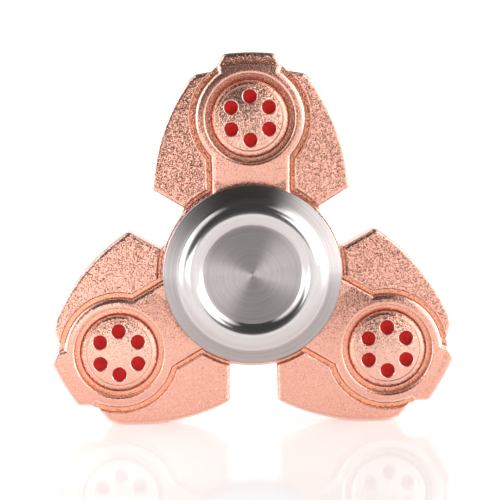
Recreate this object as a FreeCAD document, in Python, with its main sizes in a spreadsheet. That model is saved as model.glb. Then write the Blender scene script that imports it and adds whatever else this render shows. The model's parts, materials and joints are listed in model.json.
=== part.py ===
"""Three-lobed fidget spinner, modelled as the assembly it is.

Row frame (millimetres): the origin is the centre of the ball bearing. The spin axis
is Y and the front face looks toward -Y. +Z is up, with one lobe straight up, so the
spinner stands on its two lower lobes. +X is to the right.

Every piece is drawn in a bench frame that is easier to sketch in: x to the right,
y along the upper lobe, z out of the front face. Each piece then gets one Placement,
built on a quarter turn about X, that brings it into the row frame.

Pieces
  held between finger and thumb: front_cap, rear_cap, cap_stud, front_spacer_washer,
      rear_spacer_washer, bearing_inner_ring
  spinning: spinner_frame, bearing_outer_ring, bearing_shield_front,
      bearing_shield_rear, weight_disc_*, red_insert_*
  between them: cage_front, cage_rear, cage_rivets and seven bearing balls
"""
import FreeCAD, Part
import math
import os
import Sketcher

from FreeCAD import Placement, Rotation, Vector

doc = FreeCAD.newDocument("fidget_spinner")

# ---------------------------------------------------------------------------
# Driving dimensions, in millimetres except for wing_fall and rivet_head_taper,
# which are ratios. Heights are above the mid plane.
# ---------------------------------------------------------------------------
DIMENSIONS = [
    # how far cutting outlines run past the material
    ("cut_overrun", 1.0),
    # ball bearing, 608 size
    ("bearing_bore_radius", 4.0),
    ("bearing_outer_radius", 11.0),
    ("bearing_half_width", 3.5),
    ("pitch_radius", 7.5),
    ("ball_radius", 1.985),
    ("race_clearance", 0.045),
    ("inner_shoulder_radius", 5.95),
    ("outer_shoulder_radius", 9.2),
    ("race_edge_break", 0.3),
    # shields: bead feet are measured from the shield's inner edge and the outer shoulder
    ("shield_seat_radius", 9.8),
    ("shield_seat_depth", 0.62),
    ("shield_inner_radius", 6.35),
    ("shield_thickness", 0.32),
    ("shield_bead_height", 0.16),
    ("bead_inner_foot", 0.55),
    ("bead_inner_run", 0.2),
    ("bead_outer_foot", 0.2),
    ("bead_outer_run", 0.25),
    ("bead_face_shift", 0.1),
    # cage and rivets
    ("cage_inner_radius", 6.85),
    ("cage_outer_radius", 8.15),
    ("cage_flange_thickness", 0.42),
    ("cage_wall", 0.4),
    ("cage_clearance", 0.06),
    ("rivet_radius", 0.32),
    ("rivet_head_radius", 0.56),
    ("rivet_head_taper", 0.6),
    ("rivet_head_height", 0.24),
    # frame: hub and lobe position
    ("hub_ring_radius", 14.0),
    ("hub_ring_half", 2.9),
    ("hub_lip_radius", 12.3),
    ("hub_edge_round", 0.35),
    ("lobe_radius", 23.3),
    ("groove_floor", 2.75),
    # frame: wings
    ("wing_block_height", 3.95),
    ("wing_top", 3.66),
    ("wing_fall", 0.067),
    ("wing_slope_outside", 1.5),
    ("wing_slope_inside", 0.6),
    ("wing_reach", 14.85),
    ("wing_heel_high", 13.4),
    ("wing_heel_low", 12.42),
    ("wing_heel_in", 14.2),
    ("wing_heel_round", 0.85),
    ("wing_side_round", 29.5),
    ("wing_head_x", 9.1),
    ("wing_head_y", 29.1),
    ("wing_brow_x", 8.1),
    ("wing_brow_y", 29.9),
    ("wing_root_x", 10.13),
    ("wing_tail_x", 10.3),
    ("wing_tail_y", 9.3),
    ("wing_inner_circle", 9.0),
    ("wing_neck_x", 6.6),
    ("wing_hub_circle", 14.2),
    ("wing_horn_x", 5.6),
    ("wing_horn_out", 5.2),
    ("wing_horn_up", 30.85),
    ("wing_edge_round", 0.65),
    ("wing_inner_bevel", 0.2),
    # frame: spine, housing and shoulder
    ("spine_height", 4.15),
    ("spine_level", 3.78),
    ("spine_crown_radius", 7.15),
    ("spine_fade_radius", 10.6),
    ("crown_fade_overrun", 8.0),
    ("spine_half_width", 6.0),
    ("spine_start", 10.6),
    ("spine_edge_round", 0.85),
    ("housing_radius", 8.3),
    ("shoulder_half_width", 4.85),
    ("shoulder_foot_inset", 0.15),
    ("shoulder_radius", 31.4),
    # frame: tab
    ("tab_half_top", 3.9),
    ("tab_half_base", 5.1),
    ("tab_base_sink", 0.9),
    ("tab_side_rise", 0.75),
    ("tab_radius", 33.15),
    ("tab_half_thickness", 1.9),
    ("tab_corner_round", 0.9),
    ("tab_edge_round", 0.7),
    # frame: pocket for the weight disc
    ("moat_radius", 6.7),
    ("moat_edge_round", 0.35),
    ("moat_floor", 2.0),
    ("web_bore_radius", 4.8),
    # weight disc
    ("disc_radius", 5.95),
    ("disc_crown", 4.28),
    ("disc_dome_radius", 24.0),
    ("disc_line_radius", 4.9),
    ("disc_line_half", 0.09),
    ("disc_line_depth", 0.12),
    ("disc_edge_round", 1.15),
    ("disc_hole_circle", 3.26),
    ("disc_hole_radius", 1.05),
    ("disc_hole_chamfer", 0.13),
    # red insert
    ("insert_radius", 4.72),
    ("insert_half", 1.98),
    ("peg_radius", 1.03),
    ("peg_top", 3.5),
    ("peg_dish", 0.16),
    # finger caps
    ("cap_radius", 13.4),
    ("cap_floor_radius", 7.3),
    ("cap_floor_top", 6.6),
    ("cap_bead_radius", 10.95),
    ("cap_bead_rise", 0.85),
    ("cap_rim_top", 5.3),
    ("cap_rim_chamfer", 0.12),
    ("cap_rim_lift", 0.02),
    ("cap_rim_bottom", 4.75),
    ("cap_skirt_radius", 12.4),
    ("cap_skirt_drop", 0.2),
    ("cap_hollow_radius", 11.6),
    ("cap_hollow_top", 5.25),
    ("cap_pad_radius", 5.75),
    ("cap_pad_bottom", 4.1),
    ("cap_spigot_radius", 3.97),
    ("cap_spigot_end", 0.6),
    ("cap_spigot_chamfer", 0.2),
    # stud
    ("stud_radius", 2.0),
    ("stud_root_radius", 1.72),
    ("stud_pitch", 0.7),
    ("stud_root_half", 0.05),
    ("stud_crest_half", 0.06),
    ("stud_half_length", 3.5),
    ("stud_plain_end", 0.7),
    ("stud_bore_end", 3.9),
    # spacer washers
    ("washer_bore_radius", 4.05),
    ("washer_radius", 5.6),
    ("washer_thickness", 0.6),
]

BALLS = 7
DISC_HOLES = 6
# name of each lobe and its turn from straight up, in degrees
LOBES = [("top", 0.0), ("left", 120.0), ("right", 240.0)]
# name of each face and whether its pieces are turned over to the rear
FACES = [("front", False), ("rear", True)]

sheet = doc.addObject("Spreadsheet::Sheet", "dims")
for row, (alias, number) in enumerate(DIMENSIONS, start=2):
    sheet.set("A%d" % row, alias)
    sheet.set("B%d" % row, str(number))
    sheet.setAlias("B%d" % row, alias)
doc.recompute()


class Dim:
    """A number that remembers the spreadsheet formula it comes from."""

    def __init__(self, value, text):
        self.value = float(value)
        self.text = text

    @staticmethod
    def of(thing):
        if isinstance(thing, Dim):
            return thing
        return Dim(thing, "%.9g" % thing)

    def __add__(self, other):
        other = Dim.of(other)
        return Dim(self.value + other.value, "(%s + %s)" % (self.text, other.text))

    def __sub__(self, other):
        other = Dim.of(other)
        return Dim(self.value - other.value, "(%s - %s)" % (self.text, other.text))

    def __mul__(self, other):
        other = Dim.of(other)
        return Dim(self.value * other.value, "(%s * %s)" % (self.text, other.text))

    def __truediv__(self, other):
        other = Dim.of(other)
        return Dim(self.value / other.value, "(%s / %s)" % (self.text, other.text))

    def __neg__(self):
        return Dim(-self.value, "(0 - %s)" % self.text)

    def root(self):
        return Dim(math.sqrt(self.value), "sqrt(%s)" % self.text)


class Dims:
    """The driving dimensions, one attribute for each alias."""

    def __init__(self, table):
        for alias, number in table:
            setattr(self, alias, Dim(number, "dims." + alias))


dims = Dims(DIMENSIONS)


def leg(hypotenuse, side):
    """The other leg of a right triangle: where a circle meets a straight line."""
    return (hypotenuse * hypotenuse - side * side).root()


def arc_radius(half_chord, rise):
    """Radius of the arc that rises this far above its chord."""
    return (half_chord * half_chord + rise * rise) / (rise * 2.0)


# ---------------------------------------------------------------------------
# Sketch helpers
# ---------------------------------------------------------------------------
BENCH_TO_ROW = Rotation(Vector(1, 0, 0), 90)  # bench z becomes row -Y, bench y row +Z
ZERO = 1e-9
# which side of the direction of travel an arc bulges to
LEFT, RIGHT = 1, -1


def bench_placement(spin=0.0, flip=False, offset=Vector(0, 0, 0)):
    """Row placement of a bench piece: flipped to the rear, shifted, turned to its lobe."""
    turn = Rotation(Vector(0, 0, 1), spin)
    over = Rotation(Vector(0, 1, 0), 180 if flip else 0)
    local = Placement(offset, over)
    return Placement(Vector(0, 0, 0), BENCH_TO_ROW.multiply(turn)).multiply(local)


def origin_feature(body, role):
    return next(f for f in body.Origin.OriginFeatures if f.Role == role)


def new_sketch(body, name, role="XY_Plane", centre_y=None):
    """A sketch on an origin plane; an XZ sketch can be moved along +y to centre_y."""
    sketch = body.newObject("Sketcher::SketchObject", name)
    sketch.AttachmentSupport = [(origin_feature(body, role), "")]
    sketch.MapMode = "FlatFace"
    if centre_y is not None:
        # the normal of the XZ plane points along -y
        shift = -centre_y
        sketch.AttachmentOffset = Placement(Vector(0, 0, shift.value), Rotation())
        sketch.setExpression("AttachmentOffset.Base.z", shift.text)
    return sketch


def bind(sketch, kind, geo, pos, dim):
    """Hold one coordinate of a sketch point to a formula."""
    if abs(dim.value) < ZERO:
        axis = -2 if kind == "DistanceX" else -1
        sketch.addConstraint(Sketcher.Constraint("PointOnObject", geo, pos, axis))
        return
    number = sketch.addConstraint(Sketcher.Constraint(kind, -1, 1, geo, pos, dim.value))
    sketch.setExpression("Constraints[%d]" % number, dim.text)


def bind_radius(sketch, geo, radius):
    number = sketch.addConstraint(Sketcher.Constraint("Radius", geo, radius.value))
    sketch.setExpression("Constraints[%d]" % number, radius.text)


def circle(sketch, radius, centre_y=0.0):
    """A circle centred on the sketch's vertical axis."""
    centre_y = Dim.of(centre_y)
    centre = Vector(0, centre_y.value, 0)
    geo = sketch.addGeometry(Part.Circle(centre, Vector(0, 0, 1), radius.value))
    bind(sketch, "DistanceX", geo, 3, Dim.of(0))
    bind(sketch, "DistanceY", geo, 3, centre_y)
    bind_radius(sketch, geo, radius)


def add_arc(sketch, start, end, radius, side):
    """The shorter arc between two points. Returns its number and its first and last ends."""
    chord = end.sub(start)
    lift = math.sqrt(max(radius.value ** 2 - (chord.Length / 2.0) ** 2, 0.0))
    left = Vector(-chord.y, chord.x, 0).normalize()
    # the centre lies on the side away from the bulge
    centre = start.add(end).multiply(0.5).add(left.multiply(-lift * side))
    base = Part.Circle(centre, Vector(0, 0, 1), radius.value)
    at_start = math.atan2(start.y - centre.y, start.x - centre.x)
    at_end = math.atan2(end.y - centre.y, end.x - centre.x)
    # bulging left of travel means turning clockwise about the centre
    if side == LEFT:
        low, high, ends = at_end, at_start, (2, 1)
    else:
        low, high, ends = at_start, at_end, (1, 2)
    if high <= low:
        high += 2 * math.pi
    geo = sketch.addGeometry(Part.ArcOfCircle(base, low, high))
    bind_radius(sketch, geo, radius)
    return (geo,) + ends


def outline(sketch, points):
    """A closed outline. A point is (x, y) for a straight run to it from the point
    before, or (x, y, radius, side) for an arc that bulges LEFT or RIGHT of travel."""
    places = [(Dim.of(point[0]), Dim.of(point[1])) for point in points]
    corners = [Vector(x.value, y.value, 0) for x, y in places]
    segments = []
    for i, point in enumerate(points):
        start, end = corners[i - 1], corners[i]
        if len(point) == 2:
            geo = sketch.addGeometry(Part.LineSegment(start, end))
            segments.append((geo, 1, 2))
        else:
            segments.append(add_arc(sketch, start, end, point[2], point[3]))
    for i, (geo, _, last) in enumerate(segments):
        after, first, _ = segments[(i + 1) % len(segments)]
        sketch.addConstraint(Sketcher.Constraint("Coincident", geo, last, after, first))
        bind(sketch, "DistanceX", geo, last, places[i][0])
        bind(sketch, "DistanceY", geo, last, places[i][1])


def mirrored(points):
    """The same outline reflected in the bench y axis, travelled the same way round."""
    count = len(points)
    flipped = []
    for i in range(count):
        here, after = points[count - 1 - i], points[(count - i) % count]
        # the arc that led to the next point now leads back to this one
        flipped.append((-here[0], here[1]) + tuple(after[2:]))
    return flipped


# ---------------------------------------------------------------------------
# Feature helpers
# ---------------------------------------------------------------------------
def set_bound(thing, prop, dim):
    """Give a property its value and the formula that drives it."""
    setattr(thing, prop, dim.value)
    thing.setExpression(prop, dim.text)


def pad(body, name, sketch, length, midplane=False):
    feature = body.newObject("PartDesign::Pad", name)
    feature.Profile = sketch
    if midplane:
        feature.SideType = "Symmetric"
    set_bound(feature, "Length", length)
    return feature


def cut_through(body, name, sketch):
    """A pocket that runs through everything on both sides of its sketch."""
    feature = body.newObject("PartDesign::Pocket", name)
    feature.Profile = sketch
    feature.Type = "ThroughAll"
    feature.SideType = "Symmetric"
    return feature


def turned(body, name, sketch, kind="PartDesign::Revolution"):
    """A full turn of the sketch about its own vertical axis."""
    feature = body.newObject(kind, name)
    feature.Profile = sketch
    feature.ReferenceAxis = (sketch, ["V_Axis"])
    feature.Angle = 360.0
    return feature


def polar(body, feature, count):
    """Set up a polar pattern about the bench z axis."""
    feature.Axis = (origin_feature(body, "Z_Axis"), "")
    feature.Angle = 360.0
    feature.Occurrences = count


def hole_pattern(body, name, original):
    """Repeat a feature at every hole of the weight disc."""
    pattern = body.newObject("PartDesign::PolarPattern", name)
    pattern.Originals = [original]
    polar(body, pattern, DISC_HOLES)
    body.Tip = pattern
    return pattern


def dress_edges(body, kind, name, size, wanted, base):
    """Fillet or chamfer the edges of base that the test picks, by where they lie."""
    doc.recompute()
    edges = enumerate(base.Shape.Edges, start=1)
    names = ["Edge%d" % number for number, edge in edges if wanted(edge)]
    if not names:
        raise RuntimeError("no edge found for " + name)
    feature = body.newObject("PartDesign::" + kind, name)
    feature.Base = (base, names)
    set_bound(feature, "Radius" if kind == "Fillet" else "Size", size)
    doc.recompute()
    if "Invalid" in feature.State or feature.Shape.isNull() or not feature.Shape.isValid():
        raise RuntimeError("could not make " + name)
    return feature


def primitive(kind, name, **sizes):
    thing = doc.addObject(kind, name)
    for prop, dim in sizes.items():
        set_bound(thing, prop, dim)
    return thing


def combined(kind, name, shapes):
    thing = doc.addObject(kind, name)
    thing.Shapes = shapes
    return thing


PIECES = {}


def keep(name, thing, placement):
    """Place a piece in the row frame and register it to be written out."""
    thing.Placement = placement
    thing.Label = name
    PIECES[name] = thing


def turned_piece(name, points, flip=False):
    """A piece turned from a profile of (radius, height) points about the bench z axis."""
    body = doc.addObject("PartDesign::Body", name)
    sketch = new_sketch(body, name + "_profile", "XZ_Plane")
    outline(sketch, points)
    turned(body, name + "_turned", sketch)
    keep(name, body, bench_placement(flip=flip))


# ---------------------------------------------------------------------------
# Tests that pick the frame's edges on the front half of the upper lobe
# ---------------------------------------------------------------------------
SAME_POINT = 1e-4
SAME_LEVEL = 1e-3
ON_CURVE = 0.02
MIN_UPRIGHT = 0.5            # least height of an upright edge
TAB_CORNER_FROM_Y = 31.5
TAB_SIDE_FROM_Y = 31.1
TAB_SIDE_INSET = 0.6         # inward of the shoulder's half width
SPINE_FROM_Y = 11.0
NECK_FROM_Y = 12.0
SHOULDER_FROM_RADIUS = 30.0  # from the spin axis
WING_ABOVE_FLOOR = 0.2
WING_BELOW_SPINE = 0.005
WING_OFF_NECK = 0.05
HUB_SIDE_FROM_Y = 9.5
RIM_LEVEL = 0.01


def mid_point(edge):
    return edge.valueAt((edge.FirstParameter + edge.LastParameter) / 2.0)


def end_points(edge):
    return edge.Vertexes[0].Point, edge.Vertexes[-1].Point


def near(value, dim, tolerance=ON_CURVE):
    return abs(value - dim.value) < tolerance


def plan(point):
    """Distances of a point from the spin axis and from the lobe axis."""
    from_lobe = math.hypot(point.x, point.y - dims.lobe_radius.value)
    return math.hypot(point.x, point.y), from_lobe


def is_upright(edge):
    start, end = end_points(edge)
    return abs(start.x - end.x) < SAME_POINT and abs(start.y - end.y) < SAME_POINT


def tab_corner(edge):
    start, end = end_points(edge)
    tall = abs(start.z - end.z) > MIN_UPRIGHT
    at_top = near(abs(start.x), dims.tab_half_top, SAME_LEVEL) and start.y > TAB_CORNER_FROM_Y
    return is_upright(edge) and tall and at_top


def moat_edge(edge):
    middle = mid_point(edge)
    _, lobe = plan(middle)
    return near(lobe, dims.moat_radius) and near(middle.z, dims.spine_height, RIM_LEVEL)


def spine_edge(edge):
    middle = mid_point(edge)
    start, end = end_points(edge)
    hub, lobe = plan(middle)
    high = min(start.z, end.z, middle.z) > dims.spine_level.value - ON_CURVE
    on_housing = near(lobe, dims.housing_radius)
    on_neck = near(abs(middle.x), dims.spine_half_width) and middle.y > NECK_FROM_Y
    on_shoulder = (hub > SHOULDER_FROM_RADIUS
                   and lobe > dims.housing_radius.value - ON_CURVE)
    return high and middle.y > SPINE_FROM_Y and (on_housing or on_neck or on_shoulder)


def on_wing_face(edge):
    """Clear above the groove floor and below the spine."""
    middle = mid_point(edge)
    start, end = end_points(edge)
    lowest = min(start.z, end.z, middle.z)
    return (lowest > dims.groove_floor.value + WING_ABOVE_FLOOR
            and middle.z < dims.spine_level.value - WING_BELOW_SPINE)


def wing_outer_edge(edge):
    middle = mid_point(edge)
    hub, lobe = plan(middle)
    outer = (lobe > dims.wing_inner_circle.value + ON_CURVE
             and hub > dims.wing_hub_circle.value + ON_CURVE)
    off_neck = abs(middle.x) > dims.wing_neck_x.value + WING_OFF_NECK
    return on_wing_face(edge) and outer and off_neck


def wing_inner_edge(edge):
    middle = mid_point(edge)
    hub, lobe = plan(middle)
    on_circle = near(lobe, dims.wing_inner_circle)
    on_neck = near(abs(middle.x), dims.wing_neck_x) and hub > dims.wing_hub_circle.value
    on_hub = near(hub, dims.wing_hub_circle) and middle.y > HUB_SIDE_FROM_Y
    return on_wing_face(edge) and not is_upright(edge) and (on_circle or on_neck or on_hub)


def tab_edge(edge):
    middle = mid_point(edge)
    hub, _ = plan(middle)
    level = all(near(point.z, dims.tab_half_thickness, SAME_LEVEL)
                for point in end_points(edge))
    beyond = hub > dims.shoulder_radius.value + ON_CURVE
    at_side = (abs(middle.x) > dims.shoulder_half_width.value - TAB_SIDE_INSET
               and middle.y > TAB_SIDE_FROM_Y)
    return level and (beyond or at_side)


# ---------------------------------------------------------------------------
# Spinner frame: one casting. The front half of one lobe is built, then repeated
# round the bearing and mirrored to the rear.
# ---------------------------------------------------------------------------
def third_of_disc(radius):
    """A third of a disc about the spin axis, centred on the upper lobe."""
    side = radius * math.cos(math.radians(30))
    return [
        (0, 0),
        (side, radius * 0.5),
        (-side, radius * 0.5, radius, RIGHT),
    ]


def add_hub(frame):
    for name, radius, height in (
        ("hub_ring", dims.hub_ring_radius, dims.hub_ring_half),
        ("hub_lip", dims.hub_lip_radius, dims.bearing_half_width),
    ):
        sketch = new_sketch(frame, name + "_outline")
        outline(sketch, third_of_disc(radius))
        pad(frame, name, sketch, height)

    # broken outer corner of the hub ring, cut before the lobe grows out of it
    corner_in = dims.hub_ring_radius - dims.hub_edge_round
    corner_low = dims.hub_ring_half - dims.hub_edge_round
    clear_radius = dims.hub_ring_radius + dims.cut_overrun
    clear_height = dims.hub_ring_half + dims.cut_overrun
    sketch = new_sketch(frame, "hub_corner_profile", "XZ_Plane")
    outline(sketch, [
        (corner_in, dims.hub_ring_half),
        (dims.hub_ring_radius, corner_low),
        (clear_radius, corner_low),
        (clear_radius, clear_height),
        (corner_in, clear_height),
    ])
    turned(frame, "hub_corner", sketch, "PartDesign::Groove")


def add_wings(frame):
    """The groove floor and the two raised wings that stand on it."""
    horn_y = dims.lobe_radius + leg(dims.wing_inner_circle, dims.wing_horn_x)
    horn = (dims.wing_horn_x, horn_y)
    # outer side of a wing, from its head down to the hub
    side = [
        (dims.wing_brow_x, dims.wing_brow_y),
        (dims.wing_head_x, dims.wing_head_y),
        (dims.wing_reach, dims.wing_heel_high, dims.wing_side_round, LEFT),
        (dims.wing_heel_in, dims.wing_heel_low, dims.wing_heel_round, LEFT),
        (dims.wing_root_x, leg(dims.wing_hub_circle, dims.wing_root_x)),
    ]

    # the floor of the grooves is the full outline of the two wings and the neck
    floor = [(dims.wing_horn_out, dims.wing_horn_up), horn]
    floor += side + [(dims.wing_tail_x, dims.wing_tail_y)]
    sketch = new_sketch(frame, "lobe_floor_outline")
    outline(sketch, floor + mirrored(floor))
    pad(frame, "lobe_floor", sketch, dims.groove_floor)

    # each wing closes along the circle that is concentric with the housing
    wing = [horn + (dims.wing_inner_circle, RIGHT)] + side + [
        (dims.wing_neck_x, leg(dims.wing_hub_circle, dims.wing_neck_x),
         dims.wing_hub_circle, RIGHT),
        (dims.wing_neck_x,
         dims.lobe_radius - leg(dims.wing_inner_circle, dims.wing_neck_x)),
    ]
    sketch = new_sketch(frame, "wing_outline")
    outline(sketch, wing)
    outline(sketch, mirrored(wing))
    pad(frame, "wings", sketch, dims.wing_block_height)

    # the wing faces fall away from the spine
    far_x = dims.wing_reach + dims.wing_slope_outside
    near_x = dims.wing_horn_x - dims.wing_slope_inside
    clear_height = dims.wing_block_height + dims.cut_overrun
    slope = [(x, dims.wing_top - dims.wing_fall * (x - dims.wing_neck_x))
             for x in (near_x, far_x)]
    slope += [(far_x, clear_height), (near_x, clear_height)]
    sketch = new_sketch(frame, "wing_slope_profile", "XZ_Plane")
    outline(sketch, slope)
    outline(sketch, mirrored(slope))
    cut_through(frame, "wing_slope", sketch)


def add_spine(frame):
    """The raised spine: neck, round housing and the shoulder at its tip."""
    half_width = dims.spine_half_width
    neck_y = dims.lobe_radius - leg(dims.housing_radius, half_width)
    crest_x = dims.shoulder_half_width - dims.shoulder_foot_inset
    crest_y = dims.lobe_radius + leg(dims.housing_radius, crest_x)
    tip_y = leg(dims.shoulder_radius, dims.shoulder_half_width)
    sketch = new_sketch(frame, "spine_outline")
    outline(sketch, [
        (half_width, dims.spine_start),
        (half_width, neck_y),
        (crest_x, crest_y, dims.housing_radius, RIGHT),
        (dims.shoulder_half_width, tip_y),
        (-dims.shoulder_half_width, tip_y, dims.shoulder_radius, RIGHT),
        (-crest_x, crest_y),
        (-half_width, neck_y, dims.housing_radius, RIGHT),
        (-half_width, dims.spine_start),
    ])
    pad(frame, "spine", sketch, dims.spine_height)

    # the housing crown fades down to the level of the neck
    clear_radius = dims.lobe_radius - dims.bearing_outer_radius + dims.crown_fade_overrun
    clear_height = dims.spine_height + dims.cut_overrun
    sketch = new_sketch(frame, "crown_fade_profile", "XZ_Plane", dims.lobe_radius)
    outline(sketch, [
        (dims.spine_crown_radius, dims.spine_height),
        (dims.spine_fade_radius, dims.spine_level),
        (clear_radius, dims.spine_level),
        (clear_radius, clear_height),
        (dims.spine_crown_radius, clear_height),
    ])
    turned(frame, "crown_fade", sketch, "PartDesign::Groove")


def add_finger_tab(frame):
    """The thin tab beyond the shoulder."""
    top_y = leg(dims.tab_radius, dims.tab_half_top)
    base_y = leg(dims.shoulder_radius, dims.tab_half_base) - dims.tab_base_sink
    side_y = base_y + dims.tab_side_rise
    sketch = new_sketch(frame, "tab_outline")
    outline(sketch, [
        (dims.tab_half_base, base_y),
        (dims.tab_half_base, side_y),
        (dims.tab_half_top, top_y),
        (-dims.tab_half_top, top_y, dims.tab_radius, RIGHT),
        (-dims.tab_half_base, side_y),
        (-dims.tab_half_base, base_y),
    ])
    pad(frame, "finger_tab", sketch, dims.tab_half_thickness)


def cut_seats(frame):
    """Pocket for the weight disc with a hole through its floor, and the bearing seat."""
    below = -dims.cut_overrun / 2.0
    clear_height = dims.spine_height + dims.cut_overrun
    sketch = new_sketch(frame, "moat_profile", "XZ_Plane", dims.lobe_radius)
    outline(sketch, [
        (0, below),
        (dims.web_bore_radius, below),
        (dims.web_bore_radius, dims.moat_floor),
        (dims.moat_radius, dims.moat_floor),
        (dims.moat_radius, clear_height),
        (0, clear_height),
    ])
    turned(frame, "moat", sketch, "PartDesign::Groove")

    sketch = new_sketch(frame, "bearing_seat_outline")
    circle(sketch, dims.bearing_outer_radius)
    return cut_through(frame, "bearing_seat", sketch)


def spinner_frame():
    frame = doc.addObject("PartDesign::Body", "spinner_frame")
    add_hub(frame)
    add_wings(frame)
    add_spine(frame)
    add_finger_tab(frame)
    step = cut_seats(frame)
    for kind, name, size, wanted in (
        ("Fillet", "tab_corners", dims.tab_corner_round, tab_corner),
        ("Fillet", "moat_rim", dims.moat_edge_round, moat_edge),
        ("Fillet", "spine_edges", dims.spine_edge_round, spine_edge),
        ("Fillet", "wing_edges", dims.wing_edge_round, wing_outer_edge),
        ("Chamfer", "wing_inner_edges", dims.wing_inner_bevel, wing_inner_edge),
        ("Fillet", "tab_edges", dims.tab_edge_round, tab_edge),
    ):
        step = dress_edges(frame, kind, name, size, wanted, step)

    # three lobes round the bearing, then the same again to the rear
    whole = frame.newObject("PartDesign::MultiTransform", "three_lobes_both_sides")
    around = frame.newObject("PartDesign::PolarPattern", "three_lobes")
    polar(frame, around, len(LOBES))
    behind = frame.newObject("PartDesign::Mirrored", "both_sides")
    behind.MirrorPlane = (origin_feature(frame, "XY_Plane"), "")
    whole.TransformMode = "Whole shape"
    whole.Transformations = [around, behind]
    frame.Tip = whole
    keep("spinner_frame", frame, bench_placement())
    doc.recompute()


# ---------------------------------------------------------------------------
# Weight discs and the red inserts that show through their holes
# ---------------------------------------------------------------------------
HOLE_RIM_DEPTH = 0.6   # the rims lie no further than this below the crown
HOLE_RIM_MARGIN = 0.01


def hole_rim(edge):
    """Whether an edge is the upper rim of a hole in the disc."""
    middle = mid_point(edge)
    off_circle = abs(math.hypot(middle.x, middle.y) - dims.disc_hole_circle.value)
    lowest = min(vertex.Point.z for vertex in edge.Vertexes)
    upright = abs(middle.z - lowest) > MIN_UPRIGHT
    return (lowest > dims.disc_crown.value - HOLE_RIM_DEPTH
            and off_circle < dims.disc_hole_radius.value + HOLE_RIM_MARGIN
            and not upright)


def weight_disc(name, placement):
    """A turned disc with a domed face, a fine scribed ring, a rolled rim and six holes."""
    body = doc.addObject("PartDesign::Body", name)
    line_in = dims.disc_line_radius - dims.disc_line_half
    line_out = dims.disc_line_radius + dims.disc_line_half
    # level of the dome at the line
    brow = dims.disc_crown - dims.disc_dome_radius + leg(dims.disc_dome_radius, line_in)
    # the rim rolls over from an upright side to that level
    roll_centre = dims.disc_radius - dims.disc_edge_round
    rim = brow - leg(dims.disc_edge_round, line_out - roll_centre)
    sketch = new_sketch(body, name + "_profile", "XZ_Plane")
    outline(sketch, [
        (0, dims.moat_floor),
        (dims.disc_radius, dims.moat_floor),
        (dims.disc_radius, rim),
        (line_out, brow, dims.disc_edge_round, RIGHT),
        (dims.disc_line_radius, brow - dims.disc_line_depth),
        (line_in, brow),
        (0, dims.disc_crown, dims.disc_dome_radius, RIGHT),
    ])
    turned(body, name + "_turned", sketch)

    sketch = new_sketch(body, name + "_hole")
    circle(sketch, dims.disc_hole_radius, dims.disc_hole_circle)
    hole = cut_through(body, name + "_drilled", sketch)
    pattern = hole_pattern(body, name + "_six_holes", hole)
    body.Tip = dress_edges(body, "Chamfer", name + "_hole_rims", dims.disc_hole_chamfer,
                           hole_rim, pattern)
    keep(name, body, placement)


def red_insert(name, placement):
    """A puck in the bore of the housing floor, with six dished pegs a side."""
    body = doc.addObject("PartDesign::Body", name)
    sketch = new_sketch(body, name + "_puck_outline")
    circle(sketch, dims.insert_radius)
    pad(body, name + "_puck", sketch, dims.insert_half * 2.0, midplane=True)

    dish = arc_radius(dims.peg_radius, dims.peg_dish)
    sketch = new_sketch(body, name + "_peg_profile", "XZ_Plane", dims.disc_hole_circle)
    outline(sketch, [
        (0, -dims.peg_top + dims.peg_dish),
        (dims.peg_radius, -dims.peg_top, dish, LEFT),
        (dims.peg_radius, dims.peg_top),
        (0, dims.peg_top - dims.peg_dish, dish, LEFT),
    ])
    peg = turned(body, name + "_peg", sketch)
    hole_pattern(body, name + "_six_pegs", peg)
    keep(name, body, placement)


def discs_and_inserts():
    lobe_centre = Vector(0, dims.lobe_radius.value, 0)
    for where, turn in LOBES:
        for face, flip in FACES:
            weight_disc("weight_disc_%s_%s" % (face, where),
                        bench_placement(turn, flip, lobe_centre))
        red_insert("red_insert_" + where, bench_placement(turn, False, lobe_centre))


# ---------------------------------------------------------------------------
# Ball bearing
# ---------------------------------------------------------------------------
def bearing_rings():
    half = dims.bearing_half_width
    edge_break = dims.race_edge_break
    race_radius = dims.ball_radius + dims.race_clearance

    bore = dims.bearing_bore_radius
    shoulder = dims.inner_shoulder_radius
    reach = leg(race_radius, dims.pitch_radius - shoulder)
    turned_piece("bearing_inner_ring", [
        (bore + edge_break, -half),
        (shoulder, -half),
        (shoulder, -reach),
        (shoulder, reach, race_radius, LEFT),
        (shoulder, half),
        (bore + edge_break, half),
        (bore, half - edge_break),
        (bore, -half + edge_break),
    ])

    outside = dims.bearing_outer_radius
    shoulder = dims.outer_shoulder_radius
    seat = dims.shield_seat_radius
    seat_face = half - dims.shield_seat_depth
    reach = leg(race_radius, shoulder - dims.pitch_radius)
    turned_piece("bearing_outer_ring", [
        (seat, -half),
        (outside - edge_break, -half),
        (outside, -half + edge_break),
        (outside, half - edge_break),
        (outside - edge_break, half),
        (seat, half),
        (seat, seat_face),
        (shoulder, seat_face),
        (shoulder, reach),
        (shoulder, -reach, race_radius, LEFT),
        (shoulder, -seat_face),
        (seat, -seat_face),
    ])


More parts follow.
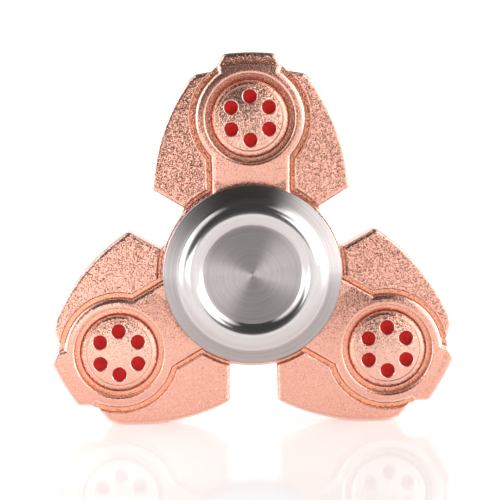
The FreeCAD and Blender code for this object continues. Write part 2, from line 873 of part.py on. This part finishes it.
def bearing_shields():
    """Pressed shields: flat rim in the seat, a raised bead, then the lip by the inner ring."""
    low = dims.bearing_half_width - dims.shield_seat_depth
    high = low + dims.shield_thickness
    bead = dims.shield_bead_height
    shift = dims.bead_face_shift
    inner_foot = dims.shield_inner_radius + dims.bead_inner_foot
    inner_crest = inner_foot + dims.bead_inner_run
    outer_foot = dims.outer_shoulder_radius - dims.bead_outer_foot
    outer_crest = outer_foot - dims.bead_outer_run
    for face, flip in FACES:
        turned_piece("bearing_shield_" + face, [
            (dims.shield_inner_radius, low),
            (inner_foot, low),
            (inner_crest, low + bead),
            (outer_crest, low + bead),
            (outer_foot, low),
            (dims.shield_seat_radius, low),
            (dims.shield_seat_radius, high),
            (outer_foot - shift, high),
            (outer_crest - shift, high + bead),
            (inner_crest - shift, high + bead),
            (inner_foot - shift, high),
            (dims.shield_inner_radius, high),
        ], flip)


def ball_centre(number, shift=0.0):
    """Centre of a ball on the pitch circle, shifted by a share of the ball spacing."""
    angle = math.radians(90.0 + 360.0 * (number + shift) / BALLS)
    pitch = dims.pitch_radius.value
    return Vector(pitch * math.cos(angle), pitch * math.sin(angle), 0)


def rivet_place(number, height):
    """A point on the axis of a rivet, midway between two balls."""
    return ball_centre(number, 0.5).add(Vector(0, 0, height))


def bearing_balls():
    for number in range(BALLS):
        name = "bearing_ball_%d" % (number + 1)
        ball = primitive("Part::Sphere", name, Radius=dims.ball_radius)
        keep(name, ball, bench_placement(offset=ball_centre(number)))


def cage_half(name, flip):
    """A pressed half cage: a flat ring with a domed pocket over every ball."""
    pocket_radius = dims.ball_radius + dims.cage_clearance
    flange = primitive("Part::Cylinder", name + "_flange",
                       Radius=dims.cage_outer_radius, Height=dims.cage_flange_thickness)
    domes = []
    for number in range(BALLS):
        dome = primitive("Part::Sphere", name + "_dome_%d" % number,
                         Radius=pocket_radius + dims.cage_wall)
        # upper half of the sphere only
        dome.Angle1 = 0.0
        dome.Placement.Base = ball_centre(number)
        domes.append(dome)
    blank = combined("Part::MultiFuse", name + "_blank", [flange] + domes)
    outside = primitive("Part::Cylinder", name + "_outside",
                        Radius=dims.cage_outer_radius, Height=dims.bearing_half_width)
    banded = combined("Part::MultiCommon", name + "_banded", [blank, outside])

    tools = [primitive("Part::Cylinder", name + "_inside",
                       Radius=dims.cage_inner_radius, Height=dims.bearing_half_width)]
    for number in range(BALLS):
        ball_space = primitive("Part::Sphere", name + "_pocket_%d" % number,
                               Radius=pocket_radius)
        ball_space.Placement.Base = ball_centre(number)
        hole = primitive("Part::Cylinder", name + "_rivet_hole_%d" % number,
                         Radius=dims.rivet_radius,
                         Height=dims.cage_flange_thickness + dims.cut_overrun)
        hole.Placement.Base = rivet_place(number, -dims.cut_overrun.value / 2.0)
        tools += [ball_space, hole]
    cage = doc.addObject("Part::Cut", name)
    cage.Base = banded
    cage.Tool = combined("Part::MultiFuse", name + "_cutter", tools)
    cage.Refine = True
    keep(name, cage, bench_placement(flip=flip))


def cage_rivets():
    """Seven rivets in one piece, each a shank with two tapered heads."""
    flange = dims.cage_flange_thickness
    rivets = []
    for number in range(BALLS):
        shank = primitive("Part::Cylinder", "rivet_shank_%d" % number,
                          Radius=dims.rivet_radius, Height=flange * 2.0)
        shank.Placement.Base = rivet_place(number, -flange.value)
        shank.setExpression("Placement.Base.z", (-flange).text)
        parts = [shank]
        for face, flip in FACES:
            head = primitive("Part::Cone", "rivet_head_%s_%d" % (face, number),
                             Radius1=dims.rivet_head_radius,
                             Radius2=dims.rivet_head_radius * dims.rivet_head_taper,
                             Height=dims.rivet_head_height)
            base = rivet_place(number, -flange.value if flip else flange.value)
            head.Placement = Placement(base, Rotation(Vector(1, 0, 0), 180 if flip else 0))
            parts.append(head)
        rivets.append(combined("Part::MultiFuse", "rivet_%d" % number, parts))
    group = doc.addObject("Part::Compound", "cage_rivets")
    group.Links = rivets
    keep("cage_rivets", group, bench_placement())


# ---------------------------------------------------------------------------
# Finger caps, their stud and the spacer washers
# ---------------------------------------------------------------------------
def finger_caps():
    chamfer = dims.cap_rim_chamfer
    spigot_chamfer = dims.cap_spigot_chamfer
    skirt_bottom = dims.cap_rim_bottom - dims.cap_skirt_drop
    # the bead is a circular arc that rises cap_bead_rise above its chord
    half_chord = (dims.cap_bead_radius - dims.cap_floor_radius) * 0.5
    bead_arc = arc_radius(half_chord, dims.cap_bead_rise)
    profile = [
        (dims.stud_radius, dims.cap_spigot_end),
        (dims.cap_spigot_radius - spigot_chamfer, dims.cap_spigot_end),
        (dims.cap_spigot_radius, dims.cap_spigot_end + spigot_chamfer),
        (dims.cap_spigot_radius, dims.cap_pad_bottom),
        (dims.cap_pad_radius, dims.cap_pad_bottom),
        (dims.cap_pad_radius, dims.cap_hollow_top),
        (dims.cap_hollow_radius, dims.cap_hollow_top),
        (dims.cap_hollow_radius, skirt_bottom),
        (dims.cap_skirt_radius, skirt_bottom),
        (dims.cap_radius - chamfer, dims.cap_rim_bottom),
        (dims.cap_radius, dims.cap_rim_bottom + chamfer),
        (dims.cap_radius, dims.cap_rim_top - chamfer),
        (dims.cap_radius - chamfer, dims.cap_rim_top + dims.cap_rim_lift),
        (dims.cap_bead_radius, dims.cap_floor_top),
        (dims.cap_floor_radius, dims.cap_floor_top, bead_arc, RIGHT),
        (0, dims.cap_floor_top),
        (0, dims.stud_bore_end),
        (dims.stud_radius, dims.stud_bore_end),
    ]
    for face, flip in FACES:
        turned_piece(face + "_cap", profile, flip)


def cap_stud():
    """Stud with its thread drawn as separate ridges between root and crest radius."""
    root, crest = dims.stud_root_radius, dims.stud_radius
    pitch = dims.stud_pitch
    end = dims.stud_half_length
    threaded = 2 * (end.value - dims.stud_plain_end.value)
    ridges = int(round(threaded / pitch.value))
    profile = [(0, -end), (root, -end)]
    for number in range(ridges):
        start = pitch * (number - ridges / 2.0)
        stop = pitch * (number + 1 - ridges / 2.0)
        middle = start + pitch * 0.5
        profile += [
            (root, start + dims.stud_root_half),
            (crest, middle - dims.stud_crest_half),
            (crest, middle + dims.stud_crest_half),
            (root, stop - dims.stud_root_half),
        ]
    profile += [(root, end), (0, end)]
    turned_piece("cap_stud", profile)


def spacer_washers():
    inner_face = dims.bearing_half_width
    outer_face = inner_face + dims.washer_thickness
    for face, flip in FACES:
        turned_piece(face + "_spacer_washer", [
            (dims.washer_bore_radius, inner_face),
            (dims.washer_radius, inner_face),
            (dims.washer_radius, outer_face),
            (dims.washer_bore_radius, outer_face),
        ], flip)


# ---------------------------------------------------------------------------
# Check everything, then write one file for each piece
# ---------------------------------------------------------------------------
def check_pieces():
    problems = []
    for thing in doc.Objects:
        if "Invalid" in thing.State or "Error" in thing.State:
            problems.append("%s is %s" % (thing.Name, thing.State))
    for name, thing in PIECES.items():
        shape = thing.Shape
        if shape.isNull() or not shape.isValid() or not shape.Solids:
            problems.append("%s has no sound shape" % name)
            continue
        if name != "cage_rivets" and len(shape.Solids) != 1:
            problems.append("%s is %d solids" % (name, len(shape.Solids)))
        if shape.Volume <= 0:
            problems.append("%s has volume %.3f" % (name, shape.Volume))
    if problems:
        raise RuntimeError("; ".join(problems))


spinner_frame()
discs_and_inserts()
bearing_rings()
bearing_shields()
bearing_balls()
for face, flip in FACES:
    cage_half("cage_" + face, flip)
cage_rivets()
finger_caps()
cap_stud()
spacer_washers()

doc.recompute()
check_pieces()

os.makedirs("parts", exist_ok=True)
for name, thing in PIECES.items():
    thing.Shape.exportStep(os.path.join("parts", name + ".step"))
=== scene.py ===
# A three-lobed spinner standing upright on a glossy white table, in metres.
# The lobes lie in the XZ plane, the first pointing up (+Z), and the object turns about Y.
# Its face looks toward -Y, where the camera stands.
import json
import math

import bpy
from mathutils import Matrix, Vector


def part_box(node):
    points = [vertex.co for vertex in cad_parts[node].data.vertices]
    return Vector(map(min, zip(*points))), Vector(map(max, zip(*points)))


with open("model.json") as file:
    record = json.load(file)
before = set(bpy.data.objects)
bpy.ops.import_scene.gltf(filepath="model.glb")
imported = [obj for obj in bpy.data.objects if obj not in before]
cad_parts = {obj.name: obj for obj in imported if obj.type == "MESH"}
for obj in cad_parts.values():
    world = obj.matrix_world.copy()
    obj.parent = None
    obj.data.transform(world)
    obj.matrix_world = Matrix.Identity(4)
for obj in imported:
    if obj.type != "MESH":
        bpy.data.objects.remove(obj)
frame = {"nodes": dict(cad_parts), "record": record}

MM = 0.001
UPRIGHT = math.radians(90)

scene = bpy.context.scene
nodes = frame["nodes"]
for name in ("Cube", "Light", "Camera"):
    extra = bpy.data.objects.get(name)
    if extra is not None and name not in nodes:
        bpy.data.objects.remove(extra, do_unlink=True)
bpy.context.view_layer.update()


# ---------------------------------------------------------------------------
# Shader helper
# ---------------------------------------------------------------------------
class Shader:
    """The node tree of a material or world: one surface node and what feeds it."""

    def __init__(self, owner, surface_kind, output_kind="ShaderNodeOutputMaterial"):
        owner.use_nodes = True
        self.owner = owner
        self.tree = owner.node_tree
        self.tree.nodes.clear()
        output = self.node(output_kind)
        self.surface = self.node(surface_kind)
        self.put(output.inputs["Surface"], self.surface.outputs[0])

    def node(self, kind):
        return self.tree.nodes.new(kind)

    def put(self, socket, value):
        """Link a socket or store a plain value."""
        if isinstance(value, bpy.types.NodeSocket):
            self.tree.links.new(value, socket)
        else:
            socket.default_value = value

    def fill(self, node, **inputs):
        """Put values into inputs by name, with _ for a space; None leaves one alone."""
        for name, value in inputs.items():
            if value is not None:
                self.put(node.inputs[name.replace("_", " ")], value)

    def set(self, **inputs):
        self.fill(self.surface, **inputs)

    def coordinates(self):
        return self.node("ShaderNodeTexCoord").outputs

    def geometry(self, name):
        return self.node("ShaderNodeNewGeometry").outputs[name]

    def math(self, operation, first, second=None, clamp=False):
        node = self.node("ShaderNodeMath")
        node.operation = operation
        node.use_clamp = clamp
        self.put(node.inputs[0], first)
        if second is not None:
            self.put(node.inputs[1], second)
        return node.outputs[0]

    def add(self, first, second):
        return self.math("ADD", first, second)

    def sub(self, first, second):
        return self.math("SUBTRACT", first, second)

    def mul(self, first, second):
        return self.math("MULTIPLY", first, second)

    def hypot(self, first, second):
        return self.math("SQRT", self.add(self.mul(first, first), self.mul(second, second)))

    def vec(self, operation, first, second=None, scale=None):
        node = self.node("ShaderNodeVectorMath")
        node.operation = operation
        self.put(node.inputs[0], first)
        if second is not None:
            self.put(node.inputs[1], second)
        self.fill(node, Scale=scale)
        return node.outputs["Value" if operation in ("LENGTH", "DOT_PRODUCT") else "Vector"]

    def split(self, vector):
        node = self.node("ShaderNodeSeparateXYZ")
        self.put(node.inputs[0], vector)
        return node.outputs

    def join(self, x, y, z):
        node = self.node("ShaderNodeCombineXYZ")
        self.fill(node, X=x, Y=y, Z=z)
        return node.outputs[0]

    def noise(self, vector, scale, detail=2.0, roughness=0.5, distortion=0.0, along=None):
        """3D noise over a vector, or 1D noise when a single value is given as along."""
        node = self.node("ShaderNodeTexNoise")
        node.noise_dimensions = "3D" if along is None else "1D"
        self.fill(node, Vector=vector, W=along, Scale=scale, Detail=detail,
                  Roughness=roughness, Distortion=distortion)
        return node.outputs["Fac"]

    def grains(self, vector, scale):
        """A random vector for each cell, centred on zero."""
        node = self.node("ShaderNodeTexVoronoi")
        self.fill(node, Vector=vector, Scale=scale)
        return self.vec("SUBTRACT", node.outputs["Color"], (0.5, 0.5, 0.5))

    def remap(self, value, span, to=(0.0, 1.0), smooth=False):
        """Carry the span of a value onto another range, clamped at both ends."""
        node = self.node("ShaderNodeMapRange")
        node.interpolation_type = "SMOOTHSTEP" if smooth else "LINEAR"
        for i, number in enumerate((value, *span, *to)):
            self.put(node.inputs[i], number)
        return node.outputs[0]

    def mix(self, factor, first, second):
        node = self.node("ShaderNodeMix")
        node.data_type = "RGBA"
        # inputs 6 and 7 and output 2 are the colour sockets
        for i, value in ((0, factor), (6, first), (7, second)):
            self.put(node.inputs[i], value)
        return node.outputs[2]

    def bump(self, height, strength, distance, normal=None):
        node = self.node("ShaderNodeBump")
        self.fill(node, Height=height, Strength=strength, Distance=distance, Normal=normal)
        return node.outputs["Normal"]

    def bevel(self, radius):
        node = self.node("ShaderNodeBevel")
        node.samples = 6
        self.fill(node, Radius=radius)
        return node.outputs["Normal"]

    def openness(self, distance):
        """1 on open faces and outer edges, falling toward 0 down in the grooves."""
        node = self.node("ShaderNodeAmbientOcclusion")
        node.samples = 4
        node.only_local = True
        self.fill(node, Distance=distance)
        return node.outputs["AO"]


def material_shader(name, surface_kind="ShaderNodeBsdfPrincipled"):
    return Shader(bpy.data.materials.new(name), surface_kind)


# ---------------------------------------------------------------------------
# Copper plating
# ---------------------------------------------------------------------------
disc_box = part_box("weight_disc_front_top")
LOBE_REACH = (disc_box[0].z + disc_box[1].z) / 2  # spinner axis to a weight's centre
HOUSING_EDGE = (8.45 * MM, 8.75 * MM)     # polish fades out, measured from a weight's centre
NECK_EDGE = (6.15 * MM, 6.45 * MM)        # polish fades out, measured across a lobe
NECK_END = 18.5 * MM                      # the neck's polish stops, measured along a lobe
LOBE_PITCH = 2.0 * math.pi / 3.0


def lobe_coordinates(t, position):
    """Fold the lobes onto one: across it, along it, and distance from its weight's centre."""
    x, _, z = t.split(position)
    reach = t.hypot(x, z)
    turn = t.math("ARCTAN2", x, z)
    wrapped = t.math("FLOORED_MODULO", t.add(turn, LOBE_PITCH / 2.0), LOBE_PITCH)
    fold = t.sub(wrapped, LOBE_PITCH / 2.0)
    across = t.mul(reach, t.math("SINE", fold))
    along = t.mul(reach, t.math("COSINE", fold))
    return across, along, t.hypot(across, t.sub(along, LOBE_REACH))


def polished_part(t, position):
    """1 on the hub, neck and housing of the frame, 0 on the blasted wings, shoulder and tab."""
    across, along, from_weight = lobe_coordinates(t, position)
    housing = t.remap(from_weight, span=HOUSING_EDGE, to=(1.0, 0.0))
    beside = t.remap(t.math("ABSOLUTE", across), span=NECK_EDGE, to=(1.0, 0.0))
    neck = t.mul(beside, t.math("LESS_THAN", along, NECK_END))
    return t.math("MAXIMUM", housing, neck)


def edge_mask(t, radius):
    """1 along convex and concave edges, 0 on open faces, and the bevelled normal."""
    soft = t.bevel(radius)
    agreement = t.vec("DOT_PRODUCT", soft, t.geometry("Normal"))
    return t.remap(agreement, span=(0.995, 0.9)), soft


def blasted_normal(t, position, soft, edges, polished, patch):
    """Every grain of the blasted skin leans its own way, least at edges and polished parts."""
    tilt = 0.36
    edge_calm, polish_calm = 0.8, 0.5
    fine = t.grains(position, scale=9000.0)
    coarse = t.vec("SCALE", t.grains(position, scale=4700.0), scale=0.35)
    lean = t.vec("ADD", fine, coarse)
    amount = t.remap(patch, span=(0.3, 0.7), to=(tilt * 0.88, tilt * 1.12))
    amount = t.mul(amount, t.sub(1.0, t.mul(edges, edge_calm)))
    amount = t.mul(amount, t.sub(1.0, t.mul(polished, polish_calm)))
    return t.vec("NORMALIZE", t.vec("ADD", soft, t.vec("SCALE", lean, scale=amount)))


def plating_color(t, facing, base, edges, dents, patch):
    """Mottled rose, with painted bounce light as a deeper orange in the grooves and a painted
    highlight, almost white, on the outer edges and rounded shoulders.
    """
    red, green, blue = base
    deep = tuple(c * 0.95 for c in base) + (1,)
    pale = tuple(min(c * 1.05, 0.98) for c in base) + (1,)
    warm = (red, green * 0.95, blue * 0.9, 1)
    # painted bounce light: the grooves are tinted toward this deeper orange
    orange = (0.98, 0.42, 0.24, 1)
    # painted highlight: outer edges and rounded shoulders are paled toward this near-white
    painted_highlight_white = (1.0, 0.86, 0.78, 1)
    rose = t.mix(t.remap(dents, span=(0.35, 0.65)), deep, pale)
    tint = t.mix(t.remap(patch, span=(0.35, 0.65), to=(0.0, 0.4)), rose, warm)
    # painted bounce light: grooves, found by ambient occlusion, take the orange
    painted_bounce_mask = t.remap(t.openness(0.9 * MM), span=(0.5, 0.88), to=(1.0, 0.0))
    tint = t.mix(t.mul(painted_bounce_mask, 0.8), tint, orange)
    # painted highlight: rounded shoulders, neither open faces nor side walls, are paled toward
    # white like the outer edges
    facing_y = t.math("ABSOLUTE", t.split(facing)[1])
    shoulder = t.mul(t.remap(facing_y, span=(0.7, 0.94), to=(1.0, 0.0)),
                     t.remap(facing_y, span=(0.35, 0.6)))
    # painted highlight mask: sharp edges and shoulders, kept out of the grooves
    outer = t.mul(t.math("MAXIMUM", edges, shoulder), t.sub(1.0, painted_bounce_mask))
    return t.mix(t.math("MULTIPLY", outer, 0.75, clamp=True), tint, painted_highlight_white)


def copper_plate(name, bevel, base, smooth_part=None, pole=None):
    """Rose copper plating over a fine blasted casting; pole is a radius at a weight's centre."""
    t = material_shader(name)
    coordinates = t.coordinates()
    position = coordinates["Object"]
    edges, soft = edge_mask(t, bevel)
    polished = smooth_part(t, position) if smooth_part else 0.0
    if pole is not None:
        # a turned face has no clean shading normal at its very middle
        from_weight = lobe_coordinates(t, position)[2]
        soft = t.mix(t.math("LESS_THAN", from_weight, pole), soft, t.geometry("True Normal"))
    patch = t.noise(position, scale=85.0)
    normal = blasted_normal(t, position, soft, edges, polished, patch)
    # slow swell of the plating, and small dents
    swell = t.noise(position, scale=700.0)
    dents = t.noise(position, scale=5200.0, roughness=0.6)
    height = t.add(t.mul(swell, 0.7), t.mul(dents, 0.5))
    t.set(
        Base_Color=plating_color(t, coordinates["Normal"], base, edges, dents, patch),
        Metallic=1.0,
        Roughness=t.add(t.remap(dents, span=(0.3, 0.7), to=(0.18, 0.27)), t.mul(polished, 0.04)),
        Normal=t.bump(height, strength=t.sub(0.5, t.mul(polished, 0.2)),
                      distance=0.05 * MM, normal=normal),
    )
    return t.owner


# ---------------------------------------------------------------------------
# Steel, brass and plastic
# ---------------------------------------------------------------------------
FLOOR_EDGE = (7.28 * MM, 7.36 * MM)   # the dished floor gives way to the bead
CONE_EDGE = (11.2 * MM, 11.5 * MM)    # the bead gives way to the outer cone


def turned_steel(name):
    """Bare steel off the lathe: concentric tool marks, so highlights fan out from the middle."""
    t = material_shader(name)
    position = t.coordinates()["Object"]
    x, _, z = t.split(position)
    radial = t.join(x, 0.0, z)
    radius = t.vec("LENGTH", radial)
    # the dished floor is faced, the bead round it is polished, the outer cone is fine turned
    flat = t.remap(radius, span=FLOOR_EDGE, to=(1.0, 0.0))
    cone = t.remap(radius, span=CONE_EDGE)
    bead = t.sub(1.0, t.math("MAXIMUM", flat, cone))
    # tool marks, streaks drawn out round the axis, and dust
    fine = t.noise(None, along=radius, scale=11000.0, detail=3.0, roughness=0.7)
    broad = t.noise(None, along=radius, scale=1900.0)
    turn = t.math("ARCTAN2", z, x)
    smear = t.noise(t.join(t.mul(turn, 1.4), t.mul(radius, 7000.0), 0.0), scale=1.0)
    dust = t.noise(position, scale=5200.0, roughness=0.6)
    height = t.add(t.mul(fine, 0.6), t.mul(broad, 0.25))
    height = t.add(height, t.mul(dust, t.add(0.35, t.mul(cone, 0.5))))
    dull = t.mix(t.remap(t.add(broad, smear), span=(0.75, 1.25)),
                 (0.44, 0.405, 0.405, 1), (0.52, 0.485, 0.485, 1))
    roughness = t.add(t.remap(fine, span=(0.3, 0.7), to=(0.2, 0.26)), t.mul(flat, 0.16))
    t.set(
        Base_Color=t.mix(t.mul(bead, 0.85), dull, (0.76, 0.72, 0.71, 1)),
        Metallic=1.0,
        Roughness=t.sub(roughness, t.mul(bead, 0.07)),
        Normal=t.bump(height, strength=t.sub(0.3, t.mul(bead, 0.2)), distance=0.01 * MM),
        Tangent=t.vec("NORMALIZE", radial),
        Anisotropic=t.add(0.5, t.add(t.mul(flat, 0.5), t.mul(cone, 0.15))),
    )
    return t.owner


def plain_metal(name, color, roughness, grain=2600.0, depth=0.004 * MM):
    """Ground or pressed metal with faint directionless scratches."""
    t = material_shader(name)
    position = t.coordinates()["Object"]
    cloud = t.noise(position, scale=420.0, detail=3.0, roughness=0.6)
    scratch = t.noise(position, scale=grain, detail=3.0, roughness=0.6, distortion=0.6)
    pale = tuple(min(c * 1.12, 1.0) for c in color)
    t.set(
        Base_Color=t.mix(t.remap(cloud, span=(0.35, 0.65)), color + (1,), pale + (1,)),
        Metallic=1.0,
        Roughness=t.remap(scratch, span=(0.35, 0.65), to=(roughness * 0.8, roughness * 1.25)),
        Normal=t.bump(scratch, strength=0.3, distance=depth),
    )
    return t.owner


def red_plastic(name):
    """Moulded red plastic: deep, slightly uneven colour with a satin skin."""
    t = material_shader(name)
    position = t.coordinates()["Object"]
    cloud = t.noise(position, scale=900.0, detail=3.0, roughness=0.55)
    skin = t.noise(position, scale=9000.0)
    t.set(
        Base_Color=t.mix(t.remap(cloud, span=(0.35, 0.65)),
                         (0.5, 0.004, 0.003, 1), (0.66, 0.008, 0.005, 1)),
        Metallic=0.0,
        Roughness=t.remap(skin, span=(0.3, 0.7), to=(0.42, 0.55)),
        Normal=t.bump(skin, strength=0.25, distance=0.008 * MM),
        Specular_IOR_Level=0.25,
    )
    return t.owner


# material slot: (maker, its settings)
LOOKS = {
    "plated_frame": (copper_plate, dict(bevel=0.14 * MM, base=(0.92, 0.475, 0.37),
                                        smooth_part=polished_part)),
    "plated_disc": (copper_plate, dict(bevel=0.08 * MM, base=(0.94, 0.54, 0.43),
                                       pole=0.9 * MM)),
    "red_plastic": (red_plastic, {}),
    "turned_steel": (turned_steel, {}),
    "stud_steel": (plain_metal, dict(color=(0.45, 0.45, 0.46), roughness=0.3)),
    "washer_brass": (plain_metal, dict(color=(0.72, 0.5, 0.2), roughness=0.26)),
    "bearing_steel": (plain_metal, dict(color=(0.6, 0.6, 0.61), roughness=0.16)),
    "shield_steel": (plain_metal, dict(color=(0.52, 0.52, 0.53), roughness=0.28)),
    "cage_steel": (plain_metal, dict(color=(0.5, 0.49, 0.47), roughness=0.32)),
    "ball_steel": (plain_metal, dict(color=(0.66, 0.66, 0.67), roughness=0.07,
                                     grain=1800.0, depth=0.001 * MM)),
}
materials = {slot: make(slot + "_look", **settings) for slot, (make, settings) in LOOKS.items()}
slot_of = {row["node"]: row["material_slot"] for row in frame["record"]["subparts"]}
for name, obj in nodes.items():
    obj.data.materials.clear()
    obj.data.materials.append(materials[slot_of[name]])


# ---------------------------------------------------------------------------
# Stage: glossy white table, glowing backdrop, and a strip and a card of light in front
# ---------------------------------------------------------------------------
FLOOR = min(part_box("spinner_frame")[0].z, 0.0) - 0.02 * MM
TABLE_WIDTH, TABLE_DEPTH = 1.6, 0.95
TABLE_FRONT = 0.33          # how far the table reaches toward the camera
BACKDROP_WIDTH, BACKDROP_HEIGHT = 2.4, 1.4
BACKDROP_Y = 0.62
BACKDROP_SINK = 0.001       # the backdrop's foot lies just below the table top
STRIP_WIDTH, STRIP_HEIGHT = 0.44, 0.028
STRIP_Y = -0.155
STRIP_LIFT = 0.015          # table top to the strip's centre
CARD_WIDTH, CARD_HEIGHT = 0.05, 0.018
CARD_PLACE = (-0.045, -0.066, 0.001)
LAMP_WHITE = (1.0, 0.99, 0.98, 1)


def stage_plane(name, width, depth, place, tilt=0.0):
    """A staged rectangle about its centre, tilted about X."""
    x, y = width / 2, depth / 2
    mesh = bpy.data.meshes.new(name)
    mesh.from_pydata([(-x, -y, 0), (x, -y, 0), (x, y, 0), (-x, y, 0)], [], [(0, 1, 2, 3)])
    obj = bpy.data.objects.new(name, mesh)
    scene.collection.objects.link(obj)
    obj.rotation_euler = (tilt, 0, 0)
    obj.location = place
    return obj


def glow(name, color, strength):
    t = material_shader(name, "ShaderNodeEmission")
    t.set(Color=color, Strength=strength)
    return t.owner


def fading_glow(name, color, axis, span, strengths):
    """Light that changes smoothly in strength along one local axis of its plane."""
    t = material_shader(name, "ShaderNodeEmission")
    along = t.split(t.coordinates()["Object"])[axis]
    t.set(Color=color, Strength=t.remap(along, span=span, to=strengths, smooth=True))
    return t.owner


def build_table():
    table = stage_plane("stage_table", TABLE_WIDTH, TABLE_DEPTH,
                        (0.0, TABLE_DEPTH / 2 - TABLE_FRONT, FLOOR))
    t = material_shader("stage_table_look")
    t.set(Base_Color=(0.86, 0.86, 0.86, 1), Roughness=0.05, Metallic=0.0, IOR=1.12,
          Emission_Color=(1.0, 0.99, 0.985, 1), Emission_Strength=0.34)
    table.data.materials.append(t.owner)


def build_backdrop():
    """Brightest at the foot, fading out upward."""
    height = FLOOR + BACKDROP_HEIGHT / 2 - BACKDROP_SINK
    backdrop = stage_plane("stage_backdrop", BACKDROP_WIDTH, BACKDROP_HEIGHT,
                           (0.0, BACKDROP_Y, height), UPRIGHT)
    backdrop.data.materials.append(fading_glow(
        "stage_backdrop_look", (1, 1, 1, 1), axis=1, span=(-0.46, -0.16), strengths=(1.3, 0.3)))


def build_strip():
    """A low strip of light in front, a little stronger on the right, hidden from the camera."""
    strip = stage_plane("stage_strip", STRIP_WIDTH, STRIP_HEIGHT,
                        (0.0, STRIP_Y, FLOOR + STRIP_LIFT), UPRIGHT)
    strip.data.materials.append(fading_glow(
        "stage_strip_look", LAMP_WHITE, axis=0, span=(-0.04, 0.04), strengths=(1.0, 1.2)))
    strip.visible_camera = False


def build_card():
    """A glowing card nearer the object at the lower left, hidden from the camera."""
    card = stage_plane("stage_card", CARD_WIDTH, CARD_HEIGHT, CARD_PLACE, UPRIGHT)
    card.data.materials.append(glow("stage_card_look", LAMP_WHITE, strength=2.4))
    card.visible_camera = False


build_table()
build_backdrop()
build_strip()
build_card()


# ---------------------------------------------------------------------------
# World: a white tent right and left of the object, dark in front and above
# ---------------------------------------------------------------------------
def build_tent():
    """Azimuth is measured from the camera side, positive to the right; spans in degrees."""
    world = bpy.data.worlds.new("light_tent")
    t = Shader(world, "ShaderNodeBackground", "ShaderNodeOutputWorld")
    scene.world = world
    x, y, z = t.split(t.coordinates()["Generated"])
    azimuth = t.math("ARCTAN2", x, t.mul(y, -1.0))

    def by_angle(angle, span, to=(0.0, 1.0)):
        return t.remap(angle, [math.radians(a) for a in span], to, smooth=True)

    def by_height(span, to=(0.0, 1.0)):
        return t.remap(z, [math.sin(math.radians(a)) for a in span], to, smooth=True)

    overhead = by_height(span=(50, 74), to=(1.0, 0.0))
    right = by_angle(azimuth, span=(26, 52), to=(0.0, 1.6))
    left = by_angle(t.mul(azimuth, -1.0), span=(40, 66))
    # extra light from the sides round to the back, mostly low down
    rear = by_angle(t.math("ABSOLUTE", azimuth), span=(52, 80), to=(0.0, 2.0))
    rear = t.mul(rear, by_height(span=(16, 40), to=(1.0, 0.1)))
    # a smaller hot softbox on the right makes the grain sparkle
    wide = t.mul(by_angle(azimuth, span=(17, 22)),
                 by_angle(azimuth, span=(36, 44), to=(1.0, 0.0)))
    tall = t.mul(by_height(span=(-5, 2)), by_height(span=(26, 36), to=(1.0, 0.0)))
    spark = t.mul(t.mul(wide, tall), 2.2)
    sides = t.mul(t.add(t.add(right, left), t.add(spark, rear)), overhead)
    front = by_height(span=(-1, 26), to=(0.16, 0.06))
    light = t.math("MAXIMUM", sides, front)
    # seen directly, the surroundings are a plain pale grey
    seen = t.node("ShaderNodeLightPath").outputs["Is Camera Ray"]
    t.set(Color=(1.0, 0.985, 0.975, 1.0),
          Strength=t.add(t.mul(light, t.sub(1.0, seen)), t.mul(seen, 0.85)))


build_tent()

# ---------------------------------------------------------------------------
# Camera
# ---------------------------------------------------------------------------
ELEVATION, AZIMUTH, ROLL = 4.5, -1.0, 0.79    # degrees
DISTANCE = 0.400
FACE = Vector((0.0, -3.95 * MM, 0.0))         # the point the camera is aimed at
VIEW_WIDTH = 75 * MM                          # width of the view at that point
SENSOR_WIDTH = 36.0
SHIFT_X, SHIFT_Y = -0.0046, 0.0474            # in parts of the view width


def build_camera():
    azimuth, elevation = math.radians(AZIMUTH), math.radians(ELEVATION)
    toward = Vector((math.sin(azimuth) * math.cos(elevation),
                     -math.cos(azimuth) * math.cos(elevation),
                     math.sin(elevation)))
    data = bpy.data.cameras.new("camera")
    camera = bpy.data.objects.new("camera", data)
    scene.collection.objects.link(camera)
    camera.location = FACE + toward * DISTANCE
    look = (-toward).to_track_quat("-Z", "Y").to_matrix()
    camera.rotation_euler = (look @ Matrix.Rotation(math.radians(-ROLL), 3, "Z")).to_euler()
    data.sensor_width = SENSOR_WIDTH
    data.lens = SENSOR_WIDTH * DISTANCE / VIEW_WIDTH
    data.shift_x = SHIFT_X
    data.shift_y = SHIFT_Y
    data.clip_start = 0.01
    data.clip_end = 10.0
    scene.camera = camera


build_camera()
scene.view_settings.view_transform = "Standard"
scene.view_settings.look = "None"
scene.view_settings.exposure = 0.0
scene.view_settings.gamma = 1.0
